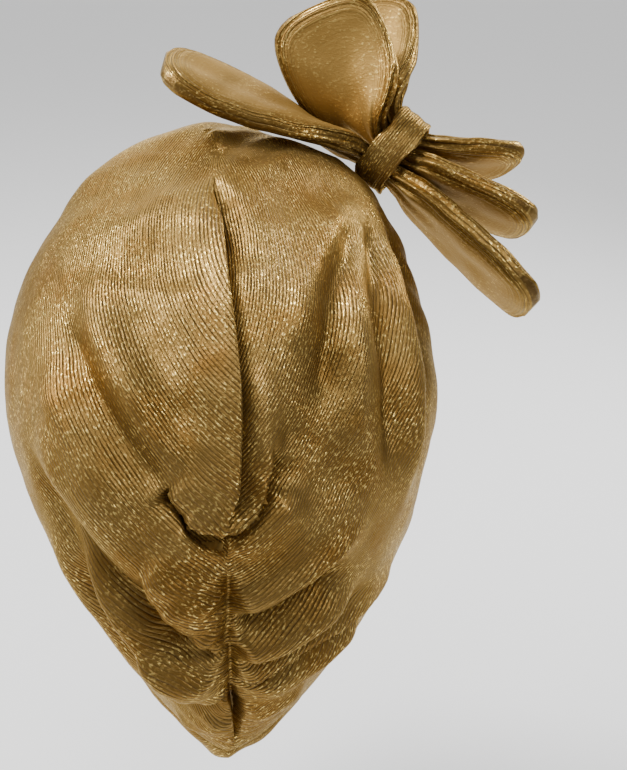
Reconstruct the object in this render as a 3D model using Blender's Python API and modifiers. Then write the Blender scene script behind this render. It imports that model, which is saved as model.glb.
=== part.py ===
"""Turban cap of crinkled gold cloth with a six-loop bow.

Metres, +Z up. The wearer faces -Y, so the nape is at +Y and the wearer's right is -X.
The origin is the middle of the head opening, where the cap sits on a head.
A place on the crown is a turn, in degrees from the centre back (plus towards the
wearer's left), and a climb, from 0 at the head opening to 1 at the top.
"""

import math

import bmesh
import bpy
import numpy as np
from mathutils import Vector

# Driving dimensions
CROWN_WIDTH = 0.190
CROWN_DEPTH = 0.236
CROWN_HEIGHT = 0.236
CLOTH_WALL = 0.0022
FOLD_WIDTH = 0.020
FOLD_DEPTH = 0.0060
PEAK_RISE = 0.008
PEAK_REACH = 0.062
PEAK_TOP_RADIUS = 0.014
PLEAT_DEPTH = 0.0012
PLEAT_COUNT = 9
HEM_HEIGHT = 0.0100
HEM_THICKNESS = 0.0044
BAND_WIDTH = 0.016
BAND_RISE = 0.039
BAND_SPAN = 0.030
BAND_WALL = 0.0022
LOOP_LENGTH = 0.092
LOOP_WIDTH = 0.048
LOOP_THICKNESS = 0.0160
GAP = 0.0004

# Loop roots inside the band, three to a side: their pitch as a share of the band's hole,
# and their width as a share of it the other way
STACK_SHARE = 0.255
ROOT_SHARE = 0.56
STACK_PITCH = (BAND_RISE - 2 * BAND_WALL) * STACK_SHARE
ROOT_THICKNESS = STACK_PITCH - GAP
ROOT_WIDTH = (BAND_SPAN - 2 * BAND_WALL) * ROOT_SHARE

# How a loop leaves the band: straight for this share of BAND_WIDTH, then turning
# over this share of its own length; its gathers end at this share of the way along
STRAIGHT_SHARE = 0.80
TURNING_SHARE = 0.30
GATHERED_FROM = 0.05
GATHERED_OVER = 0.35
ROLLED_FROM = 0.12
ROLLED_OVER = 0.75

# Shape of the lower edge's dip at the nape, and of the draw towards the bow
DIP_POWER = 1.6
DRAW_POWER = 1.7
FOLD_END_SHARE = 0.25
LAP_FACTOR = 2.0
EDGE_SHARE = 0.35

# How finely the soft forms are cut
CROWN_SIDES = 52
CROWN_ROWS = 30
BACK_CROWDING = 0.42
HEM_SIDES = 8
BAND_SIDES = 32
LOOP_SIDES = 12
LOOP_ROWS = 12
TIP_CROWDING = 0.55
FOLD_STEPS = 25

CLOTH_COLOUR = (0.26, 0.15, 0.05, 1.0)
CLOTH_ROUGHNESS = 0.42
CLOTH_METALLIC = 0.65

# Crown sections: climb, back reach, back height, front reach, front height,
# half width, nape dip, squareness, sway to the wearer's left.
# Reaches are shares of CROWN_DEPTH, heights and dip of CROWN_HEIGHT, widths and sway of CROWN_WIDTH.
CROWN_SECTIONS = (
    (0.00, 0.330, -0.150, -0.370, 0.190, 0.375, 0.105, 1.62, -0.030),
    (0.10, 0.385, -0.080, -0.400, 0.232, 0.410, 0.085, 1.66, -0.030),
    (0.22, 0.435, 0.012, -0.435, 0.290, 0.445, 0.060, 1.72, -0.028),
    (0.34, 0.470, 0.115, -0.465, 0.355, 0.470, 0.035, 1.80, -0.020),
    (0.46, 0.480, 0.232, -0.480, 0.432, 0.485, 0.015, 1.90, -0.010),
    (0.58, 0.450, 0.375, -0.480, 0.518, 0.478, 0.000, 2.02, -0.002),
    (0.70, 0.360, 0.520, -0.462, 0.605, 0.422, 0.000, 2.08, 0.000),
    (0.82, 0.200, 0.645, -0.415, 0.690, 0.313, 0.000, 2.05, 0.000),
    (0.92, 0.010, 0.715, -0.345, 0.745, 0.165, 0.000, 2.00, 0.000),
    (1.00, -0.190, 0.755, -0.230, 0.765, 0.000, 0.000, 2.00, 0.000),
)

# Crown folds: name, then turn and climb of the start, the middle and the end,
# width as a share of FOLD_WIDTH, depth as a share of FOLD_DEPTH (minus is a valley),
# lap, which is 1 where one side of the fold lies over the other.
CROWN_FOLDS = (
    ("centre_lap", 1.5, 0.950, -4.0, 0.740, -2.5, 0.580, 0.50, 0.90, 1),
    ("lap_shadow", -8.5, 0.800, -8.0, 0.690, -5.0, 0.590, 0.42, -0.55, 0),
    ("lap_lump", -13.0, 0.740, -10.5, 0.690, -8.0, 0.640, 0.35, 0.30, 0),
    ("top_crease", -34.0, 0.950, -29.0, 0.880, -26.0, 0.800, 0.50, 0.45, 0),
    ("dimple", 11.0, 0.592, 5.0, 0.570, -2.0, 0.562, 0.42, -1.00, 0),
    ("dimple_ear", 13.0, 0.605, 8.0, 0.552, -2.0, 0.535, 0.38, 0.50, 0),
    ("right_lip", -3.0, 0.545, -11.0, 0.572, -21.0, 0.602, 0.45, 0.60, 0),
    ("right_lip_hollow", -4.0, 0.565, -12.0, 0.605, -24.0, 0.650, 0.50, -0.55, 0),
    ("right_lip_return", -20.0, 0.608, -25.0, 0.560, -16.0, 0.453, 0.50, 0.35, 0),
    ("gathered_seam", -2.2, 0.540, -1.5, 0.380, -0.5, 0.020, 0.28, -0.60, 0),
    ("left_ruche_top", 17.0, 0.514, 8.0, 0.484, 0.0, 0.466, 0.36, 0.42, 0),
    ("left_valley_top", 15.0, 0.497, 8.0, 0.466, 0.0, 0.446, 0.33, -0.45, 0),
    ("left_ruche_mid", 16.0, 0.465, 8.0, 0.438, 0.0, 0.412, 0.33, 0.40, 0),
    ("left_valley_mid", 24.0, 0.455, 13.0, 0.435, 0.0, 0.375, 0.36, -0.60, 0),
    ("left_ruche_low", 33.0, 0.340, 20.0, 0.325, 0.0, 0.315, 0.50, 0.55, 0),
    ("left_valley_low", 30.0, 0.190, 15.0, 0.223, 0.0, 0.262, 0.38, -0.50, 0),
    ("right_valley_mid", -3.0, 0.394, -10.0, 0.401, -21.0, 0.408, 0.34, -0.55, 0),
    ("right_ruche_low", -3.0, 0.340, -15.0, 0.345, -32.0, 0.345, 0.42, 0.45, 0),
    ("right_valley_low", -2.0, 0.286, -20.0, 0.278, -50.0, 0.270, 0.40, -0.85, 0),
    ("left_long_valley", 40.0, 0.750, 25.0, 0.655, 13.0, 0.580, 0.50, -0.50, 0),
    ("left_long_ridge", 52.0, 0.725, 33.0, 0.600, 8.0, 0.420, 0.75, 0.55, 0),
    ("left_inner_ridge", 33.0, 0.755, 19.0, 0.674, 11.0, 0.615, 0.55, 0.40, 0),
    ("left_crescent", 46.0, 0.825, 30.0, 0.910, 11.0, 0.850, 0.65, 0.40, 0),
    ("right_hollow", -35.0, 0.745, -27.0, 0.650, -31.0, 0.535, 0.95, -0.60, 0),
    ("right_outer_ridge", -64.0, 0.790, -46.0, 0.690, -38.0, 0.480, 0.55, 0.50, 0),
    ("right_outer_valley", -64.0, 0.735, -50.0, 0.630, -44.0, 0.500, 0.42, -0.45, 0),
    ("right_edge_ridge", -78.0, 0.700, -60.0, 0.630, -50.0, 0.530, 0.45, 0.45, 0),
    ("right_side_dent", -84.0, 0.660, -68.0, 0.540, -60.0, 0.400, 1.40, -0.90, 0),
    ("front_fold_right", -125.0, 0.700, -142.0, 0.480, -155.0, 0.220, 0.70, 0.55, 0),
    ("front_fold_middle", -138.0, 0.780, -168.0, 0.600, -195.0, 0.330, 0.80, 0.60, 0),
    ("front_fold_left", -140.0, 0.870, -185.0, 0.780, -225.0, 0.560, 0.80, 0.55, 0),
    ("top_fold_left", -140.0, 0.950, -235.0, 0.900, -262.0, 0.740, 0.80, 0.45, 0),
)

# The hem's swelling: turn, height as a share of HEM_HEIGHT, thickness as a share of HEM_THICKNESS.
HEM_SWELLING = (
    (-180.0, 1.00, 1.00),
    (-60.0, 1.00, 1.00),
    (-18.0, 1.10, 1.10),
    (-3.0, 0.80, 0.85),
    (7.0, 1.55, 1.30),
    (22.0, 1.05, 1.00),
    (60.0, 1.00, 1.00),
    (180.0, 1.00, 1.00),
)

# The bow stands on the crown at this turn and climb.
# It leans this way out of the crown and runs this way along it (x, y, z).
PEAK_TURN = -122.0
PEAK_CLIMB = 0.765
BOW_OUT = (-0.63, -0.38, 0.68)
BOW_RUN = (-0.82, 0.33, -0.47)

# Bow loops: name, side (-1 towards the middle of the head), place in the stack from the crown,
# fan away from the crown and swing to the back in degrees, roll in degrees,
# length as a share of LOOP_LENGTH, width of LOOP_WIDTH and thickness of LOOP_THICKNESS.
BOW_LOOPS = (
    ("bow_loop_left_lower", -1, -1, -19.0, 13.0, -38.0, 1.20, 0.96, 0.84),
    ("bow_loop_left_middle", -1, 0, 22.0, 9.0, 78.0, 0.80, 1.06, 0.84),
    ("bow_loop_left_upper", -1, 1, 48.0, -12.0, 76.0, 0.80, 0.70, 0.96),
    ("bow_loop_right_lower", 1, -1, -9.0, 5.0, -4.0, 1.05, 0.98, 0.92),
    ("bow_loop_right_middle", 1, 0, 9.0, 0.0, -4.0, 0.79, 0.96, 0.88),
    ("bow_loop_right_upper", 1, 1, 32.0, -13.0, -8.0, 0.62, 0.74, 0.76),
)

# Loop sections: place from root to tip, half width and half thickness as shares
# of half LOOP_WIDTH and half LOOP_THICKNESS at the belly.
LOOP_SECTIONS = (
    (0.00, 0.40, 0.60),
    (0.10, 0.46, 0.62),
    (0.25, 0.64, 0.70),
    (0.45, 0.90, 0.88),
    (0.68, 1.00, 1.00),
    (0.86, 1.00, 0.98),
    (0.95, 0.90, 0.86),
    (0.985, 0.72, 0.66),
    (1.00, 0.54, 0.44),
)


def through_rows(rows, places):
    """Smooth curves through a table whose first column is the place along them."""
    table = np.array(rows, dtype=float)
    along = table[:, 0]
    values = table[:, 1:]
    last = len(along) - 1
    before = np.maximum(np.arange(last + 1) - 1, 0)
    after = np.minimum(np.arange(last + 1) + 1, last)
    slopes = (values[after] - values[before]) / (along[after] - along[before])[:, None]
    places = np.clip(np.asarray(places, dtype=float), along[0], along[-1])
    row = np.clip(np.searchsorted(along, places, side="right") - 1, 0, last - 1)
    width = (along[row + 1] - along[row])[..., None]
    t = (places - along[row])[..., None] / width
    start = (2 * t ** 3 - 3 * t ** 2 + 1) * values[row]
    start_slope = (t ** 3 - 2 * t ** 2 + t) * width * slopes[row]
    end = (3 * t ** 2 - 2 * t ** 3) * values[row + 1]
    end_slope = (t ** 3 - t ** 2) * width * slopes[row + 1]
    return start + start_slope + end + end_slope


def unit(vectors):
    lengths = np.linalg.norm(vectors, axis=-1, keepdims=True)
    return vectors / np.maximum(lengths, 1e-12)


def smooth_step(values):
    t = np.clip(values, 0.0, 1.0)
    return t * t * (3 - 2 * t)


def crown_form(turn, climb):
    """Points on the crown's plain form, before its folds."""
    section = through_rows(CROWN_SECTIONS, climb)
    back_y, front_y = section[..., 0] * CROWN_DEPTH, section[..., 2] * CROWN_DEPTH
    back_z, front_z = section[..., 1] * CROWN_HEIGHT, section[..., 3] * CROWN_HEIGHT
    half_width = section[..., 4] * CROWN_WIDTH
    nape_dip = section[..., 5] * CROWN_HEIGHT
    squareness = section[..., 6]
    sway = section[..., 7] * CROWN_WIDTH
    angle = np.radians(turn)
    forward, aside = np.cos(angle), np.sin(angle)
    reach = (np.abs(forward) ** squareness + np.abs(aside) ** squareness) ** (-1 / squareness)
    forward, aside = forward * reach, aside * reach
    from_back = np.abs((np.asarray(turn) + 180) % 360 - 180) / 90
    x = aside * half_width + sway
    y = (back_y + front_y) / 2 + forward * (back_y - front_y) / 2
    z = (back_z + front_z) / 2 + forward * (back_z - front_z) / 2
    z = z - nape_dip * np.clip(1 - from_back, 0, 1) ** DIP_POWER
    return np.stack([x, y, z], axis=-1)


def crown_normal(turn, climb):
    """Outward direction of the plain form, taken just below the top at the top itself."""
    turn = np.asarray(turn, dtype=float)
    climb = np.clip(climb, 0.004, 0.990)
    around = crown_form(turn + 0.5, climb) - crown_form(turn - 0.5, climb)
    upward = crown_form(turn, climb + 0.004) - crown_form(turn, climb - 0.004)
    return unit(np.cross(upward, around))


def fold_route(row):
    """The fold's line on the plain form, through its start, middle and end."""
    t = np.linspace(0.0, 1.0, FOLD_STEPS)
    turn = through_rows(((0.0, row[1]), (0.5, row[3]), (1.0, row[5])), t)[..., 0]
    climb = through_rows(((0.0, row[2]), (0.5, row[4]), (1.0, row[6])), t)[..., 0]
    return crown_form(turn, climb), crown_normal(turn, climb), t


def fold_lift(points, row):
    """How far one fold lifts each point of the plain form."""
    route, normals, places = fold_route(row)
    width = row[7] * FOLD_WIDTH
    depth = row[8] * FOLD_DEPTH
    offsets = points[:, None, :] - route[None, :, :]
    distances = np.linalg.norm(offsets, axis=-1)
    nearest = np.argmin(distances, axis=1)
    distance = distances[np.arange(len(points)), nearest]
    place = places[nearest]
    ends = smooth_step(place / FOLD_END_SHARE) * smooth_step((1 - place) / FOLD_END_SHARE)
    profile = np.exp(-(distance / width) ** 2)
    if row[9]:
        sideways = unit(np.cross(np.gradient(route, axis=0), normals))[nearest]
        offset = (offsets[np.arange(len(points)), nearest] * sideways).sum(axis=1)
        profile = LAP_FACTOR * profile * offset / width
    return depth * ends * profile


def peak_lift(points):
    """The crown drawn up towards the bow, in pleats that spread from it."""
    foot, _, run, across = bow_seat()
    offsets = points - foot
    distance = np.linalg.norm(offsets, axis=-1)
    reach = np.clip((PEAK_REACH - distance) / (PEAK_REACH - PEAK_TOP_RADIUS), 0, 1)
    bearing = np.arctan2(offsets @ across, offsets @ run)
    pleat = np.cos(PLEAT_COUNT * bearing) * np.sin(math.pi * reach) ** 2
    return PEAK_RISE * reach ** DRAW_POWER + PLEAT_DEPTH * pleat


def crown_surface(turn, climb):
    """Points on the outside of the folded crown."""
    shape = np.shape(turn)
    points = crown_form(turn, climb).reshape(-1, 3)
    normals = crown_normal(turn, climb).reshape(-1, 3)
    lift = peak_lift(points)
    for row in CROWN_FOLDS:
        lift = lift + fold_lift(points, row)
    return (points + normals * lift[:, None]).reshape(shape + (3,))


def bow_seat():
    """Foot of the bow on the plain form, and the directions out, along and across the bow."""
    foot = crown_form(PEAK_TURN, PEAK_CLIMB)
    outward = unit(np.array(BOW_OUT))
    run = np.array(BOW_RUN)
    run = unit(run - outward * (run @ outward))
    across = np.cross(run, outward)
    return foot, outward, run, across


def bow_middle():
    """Middle of the knot, with the band's lowest edge just clear of the crown's peak."""
    foot, outward, run, across = bow_seat()
    normal = crown_normal(PEAK_TURN, PEAK_CLIMB)
    oval = math.hypot(BAND_RISE / 2 * (outward @ normal), BAND_SPAN / 2 * (across @ normal))
    height = PEAK_RISE + GAP + oval + BAND_WIDTH / 2 * abs(run @ normal)
    return foot + normal * height


def cloth_material(name):
    material = bpy.data.materials.new(name)
    material.use_nodes = True
    shader = material.node_tree.nodes["Principled BSDF"]
    shader.inputs["Base Color"].default_value = CLOTH_COLOUR
    shader.inputs["Roughness"].default_value = CLOTH_ROUGHNESS
    shader.inputs["Metallic"].default_value = CLOTH_METALLIC
    return material


def add_object(name, mesh_data, collection):
    mesh = bpy.data.meshes.new(name)
    mesh_data.to_mesh(mesh)
    mesh_data.free()
    mesh.shade_smooth()
    piece = bpy.data.objects.new(name, mesh)
    piece.data.materials.append(cloth_material(name + "_cloth"))
    collection.objects.link(piece)
    return piece


def loft(rings, start=None, end=None):
    """Skin over closed rings of points, with an end point closing either end."""
    skin = bmesh.new()
    rows = [[skin.verts.new(point) for point in ring] for ring in rings]
    count = len(rows[0])
    for lower, upper in zip(rows, rows[1:]):
        for i in range(count):
            j = (i + 1) % count
            skin.faces.new((lower[i], upper[i], upper[j], lower[j]))
    if start is not None:
        tip = skin.verts.new(start)
        for i in range(count):
            skin.faces.new((tip, rows[0][i], rows[0][(i + 1) % count]))
    if end is not None:
        tip = skin.verts.new(end)
        for i in range(count):
            skin.faces.new((tip, rows[-1][(i + 1) % count], rows[-1][i]))
    return skin


def crown_turns():
    """Turns round the crown, closer together at the folded back."""
    t = np.linspace(-1.0, 1.0, CROWN_SIDES, endpoint=False)
    return 180 * (BACK_CROWDING * t + (1 - BACK_CROWDING) * t ** 3)


def make_crown(collection):
    turns = crown_turns()
    climbs = np.linspace(0.0, 1.0, CROWN_ROWS + 1)
    turn, climb = np.meshgrid(turns, climbs)
    points = crown_surface(turn, climb)
    skin = loft(points[:-1], end=points[-1].mean(axis=0))
    crown = add_object("crown", skin, collection)
    wall = crown.modifiers.new("wall", "SOLIDIFY")
    wall.thickness = CLOTH_WALL
    wall.offset = -1.0
    return crown


def make_hem_band(collection):
    """A rolled casing just below the crown's lower edge, with a pinch at the nape."""
    turns = crown_turns()
    edge = crown_surface(turns, np.zeros_like(turns))
    above = crown_surface(turns, np.full_like(turns, 0.02))
    outward = crown_normal(turns, np.zeros_like(turns))
    down = unit(edge - above)
    outward = unit(outward - down * (outward * down).sum(axis=-1, keepdims=True))
    swelling = through_rows(HEM_SWELLING, turns)
    half_height = swelling[:, :1] * HEM_HEIGHT / 2
    half_thickness = swelling[:, 1:] * HEM_THICKNESS / 2
    middle = edge - outward * CLOTH_WALL / 2 + down * (half_height + GAP)
    angles = np.linspace(0, 2 * math.pi, HEM_SIDES, endpoint=False) + math.pi / HEM_SIDES
    rings = []
    for angle in angles:
        aside = outward * half_thickness * math.cos(angle)
        rings.append(middle + aside - down * half_height * math.sin(angle))
    band = loft(rings + rings[:1])
    bmesh.ops.remove_doubles(band, verts=band.verts, dist=1e-6)
    bmesh.ops.recalc_face_normals(band, faces=band.faces)
    return add_object("hem_band", band, collection)


def make_knot_band(collection):
    """The strip wrapped round the middle of the bow, an oval ring."""
    outward, run, across = bow_seat()[1:]
    ring = bmesh.new()
    bmesh.ops.create_cone(
        ring, cap_ends=False, segments=BAND_SIDES, radius1=0.5, radius2=0.5, depth=BAND_WIDTH
    )
    middle = bow_middle()
    for vertex in ring.verts:
        x, y, z = vertex.co
        vertex.co = Vector(middle + across * x * BAND_SPAN + outward * y * BAND_RISE + run * z)
    bmesh.ops.recalc_face_normals(ring, faces=ring.faces)
    band = add_object("knot_band", ring, collection)
    wall = band.modifiers.new("wall", "SOLIDIFY")
    wall.thickness = BAND_WALL
    wall.offset = -1.0
    wall.use_even_offset = True
    edges = band.modifiers.new("soft_edges", "BEVEL")
    edges.width = BAND_WALL * EDGE_SHARE
    edges.segments = 1
    edges.limit_method = "ANGLE"
    return band


def loop_ends(side, stack, fan, swing, length):
    """Root, two guiding points and tip of a loop's centre line."""
    outward, run, across = bow_seat()[1:]
    fan, swing = math.radians(fan), math.radians(swing)
    ahead = run * side
    aim = ahead * math.cos(fan) * math.cos(swing)
    aim = aim + outward * math.sin(fan) * math.cos(swing) + across * math.sin(swing)
    root = bow_middle() + outward * stack * STACK_PITCH + ahead * GAP
    leaving = root + ahead * BAND_WIDTH * STRAIGHT_SHARE
    tip = bow_middle() + outward * stack * STACK_PITCH / 2 + aim * length
    return root, leaving, leaving + aim * length * TURNING_SHARE, tip


def loop_route(ends, places):
    """Points along the centre line, and the way it heads at each."""
    root, leaving, guide, tip = ends
    t = places[:, None]
    route = (1 - t) ** 3 * root + 3 * t * (1 - t) ** 2 * leaving
    route = route + 3 * t ** 2 * (1 - t) * guide + t ** 3 * tip
    heading = (1 - t) ** 2 * (leaving - root) + 2 * t * (1 - t) * (guide - leaving) + t ** 2 * (tip - guide)
    return route, unit(heading)


def loop_rings(side, stack, fan, swing, roll, length, width, thickness):
    """Closed sections of one stuffed petal, gathered at its root and full at its tip."""
    across = bow_seat()[3]
    places = np.linspace(0.0, 1.0, LOOP_ROWS)
    places = np.sin(places * math.pi / 2) * TIP_CROWDING + places * (1 - TIP_CROWDING)
    route, forward = loop_route(loop_ends(side, stack, fan, swing, length * LOOP_LENGTH), places)
    sections = through_rows(LOOP_SECTIONS, places)
    turned = math.radians(roll) * smooth_step((places - ROLLED_FROM) / ROLLED_OVER)[:, None]
    broad = unit(across - forward * (forward @ across)[:, None])
    flat = np.cross(forward, broad)
    wide = broad * np.cos(turned) + flat * np.sin(turned)
    thick = np.cross(forward, wide)
    gathered = 1 - smooth_step((places - GATHERED_FROM) / GATHERED_OVER)
    half_width = sections[:, 0] * width * LOOP_WIDTH / 2
    half_width = half_width + gathered * (ROOT_WIDTH / 2 - half_width)
    half_thickness = sections[:, 1] * thickness * LOOP_THICKNESS / 2
    half_thickness = half_thickness + gathered * (ROOT_THICKNESS / 2 - half_thickness)
    angles = np.linspace(0, 2 * math.pi, LOOP_SIDES, endpoint=False)[None, :, None]
    rings = route[:, None, :] + wide[:, None, :] * half_width[:, None, None] * np.cos(angles)
    return rings + thick[:, None, :] * half_thickness[:, None, None] * np.sin(angles)


def make_loop(collection, name, *shape):
    rings = loop_rings(*shape)
    skin = loft(rings, start=rings[0].mean(axis=0), end=rings[-1].mean(axis=0))
    bmesh.ops.recalc_face_normals(skin, faces=skin.faces)
    return add_object(name, skin, collection)


def main():
    for old in list(bpy.data.objects):
        bpy.data.objects.remove(old)
    collection = bpy.data.collections.new("turban_cap")
    bpy.context.scene.collection.children.link(collection)
    make_crown(collection)
    make_hem_band(collection)
    make_knot_band(collection)
    for row in BOW_LOOPS:
        make_loop(collection, *row)


main()
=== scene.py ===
"""Turban cap of crinkled gold cloth with a six-loop bow, as it looks in a studio.

Metres, +Z up. The wearer faces -Y, so the nape is at +Y and the wearer's right is -X.
A place on the crown is a turn, in degrees from the centre back (plus towards the
wearer's left), and a climb, from 0 at the head opening to 1 at the top.
"""

import math

import bmesh
import bpy
import numpy as np
from mathutils import Matrix, Vector, noise


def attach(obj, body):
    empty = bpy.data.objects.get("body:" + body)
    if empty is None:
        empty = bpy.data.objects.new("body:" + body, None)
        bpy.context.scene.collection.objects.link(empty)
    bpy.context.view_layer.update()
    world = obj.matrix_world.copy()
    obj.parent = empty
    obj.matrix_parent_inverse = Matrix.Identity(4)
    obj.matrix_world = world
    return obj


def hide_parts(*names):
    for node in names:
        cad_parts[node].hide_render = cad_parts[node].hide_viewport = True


# Sizes of the pieces
CROWN_WIDTH = 0.190
CROWN_DEPTH = 0.236
CROWN_HEIGHT = 0.236
CLOTH_WALL = 0.0022
FOLD_WIDTH = 0.020
FOLD_DEPTH = 0.0060
PEAK_RISE = 0.008
PEAK_REACH = 0.062
PEAK_TOP_RADIUS = 0.014
HEM_HEIGHT = 0.0100
HEM_THICKNESS = 0.0044
BAND_WIDTH = 0.016
BAND_RISE = 0.039
BAND_SPAN = 0.030
BAND_WALL = 0.0022
LOOP_LENGTH = 0.092
LOOP_WIDTH = 0.048
LOOP_THICKNESS = 0.0160
GAP = 0.0004
STACK_SHARE = 0.255
ROOT_SHARE = 0.56
STACK_PITCH = (BAND_RISE - 2 * BAND_WALL) * STACK_SHARE
ROOT_THICKNESS = STACK_PITCH - GAP
ROOT_WIDTH = (BAND_SPAN - 2 * BAND_WALL) * ROOT_SHARE

# A loop's route: the share of BAND_WIDTH that it leaves the knot straight, the share of its
# length over which it turns, and where it opens from its gathers and takes up its roll
STRAIGHT_SHARE = 0.80
TURNING_SHARE = 0.30
GATHERED_FROM = 0.05
GATHERED_OVER = 0.35
ROLLED_FROM = 0.12
ROLLED_OVER = 0.75

# How the crown's form eases: the nape's dip, the pull up to the bow, the ends of folds and
# laps as shares of their length, and the width of a lap's edge as a share of FOLD_WIDTH
DIP_POWER = 1.6
DRAW_POWER = 1.7
FOLD_END_SHARE = 0.25
LAP_START_SHARE = 0.18
LAP_END_SHARE = 0.14
LAP_EDGE_SHARE = 0.09

# Ribs: their spacing; their lean from the centre-back seam, in degrees, by climb; and the
# turns over which that lean swings round to run level across the front
RIB_PERIOD = 0.00118
RIB_LEANS = (
    (0.00, 76.0),
    (0.15, 72.0),
    (0.35, 64.0),
    (0.50, 56.0),
    (0.60, 48.0),
    (0.80, 38.0),
    (1.00, 24.0),
)
LEVEL_FROM = 45.0
LEVEL_BY = 165.0
FIELD_TURNS = 121
FIELD_CLIMBS = 61
FIELD_STEPS = 900

# Unevenness of the crown: height, spacing and seed of the broad and the fine wrinkles
CROWN_WRINKLES = ((0.0011, 0.026, 1), (0.0004, 0.011, 2))

# Puckers along the gathered back seam: their height, how far they spread from it in degrees,
# the climb where they end, how fast they follow each other up it, and their slant
PUCKER_HEIGHT = 0.00075
PUCKER_SPREAD = 11.0
PUCKER_TOP = 0.57
PUCKER_RATE = 215
PUCKER_SLANT = 0.16

# Pleats that spread from the bow's foot: their height and reach, and how many broad and fine
PLEAT_HEIGHT = 0.0009
PLEAT_REACH = 1.7 * PEAK_REACH
PLEAT_COUNT = 9
FINE_PLEAT_COUNT = 17
FINE_PLEAT_SHARE = 0.6

# How finely the cloth is cut
CROWN_SIDES = 360
CROWN_ROWS = 250
BACK_CROWDING = 0.50
LINING_STEP = 4
LINING_ROWS = 60
LINING_PATCH = 0.004
HEM_SIDES = 28
HEM_PATCH = 0.0009
BAND_SIDES = 160
BAND_EDGES = 48
LOOP_SIDES = 160
LOOP_ROWS = 150
TIP_CROWDING = 0.55
FOLD_STEPS = 33

# Crown sections: climb, back reach, back height, front reach, front height,
# half width, nape dip, squareness, sway to the wearer's left.
# Reaches are shares of CROWN_DEPTH, heights and dip of CROWN_HEIGHT, and the half width
# and sway of CROWN_WIDTH.
CROWN_SECTIONS = (
    (0.00, 0.330, -0.150, -0.370, 0.190, 0.375, 0.105, 1.62, -0.030),
    (0.10, 0.385, -0.080, -0.400, 0.232, 0.410, 0.085, 1.66, -0.030),
    (0.22, 0.435, 0.012, -0.435, 0.290, 0.445, 0.060, 1.72, -0.028),
    (0.34, 0.470, 0.115, -0.465, 0.355, 0.470, 0.035, 1.80, -0.020),
    (0.46, 0.480, 0.232, -0.480, 0.432, 0.485, 0.015, 1.90, -0.010),
    (0.58, 0.450, 0.375, -0.480, 0.518, 0.478, 0.000, 2.02, -0.002),
    (0.70, 0.360, 0.520, -0.462, 0.605, 0.422, 0.000, 2.08, 0.000),
    (0.82, 0.200, 0.645, -0.415, 0.690, 0.313, 0.000, 2.05, 0.000),
    (0.92, 0.010, 0.715, -0.345, 0.745, 0.165, 0.000, 2.00, 0.000),
    (1.00, -0.190, 0.755, -0.230, 0.765, 0.000, 0.000, 2.00, 0.000),
)

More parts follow.
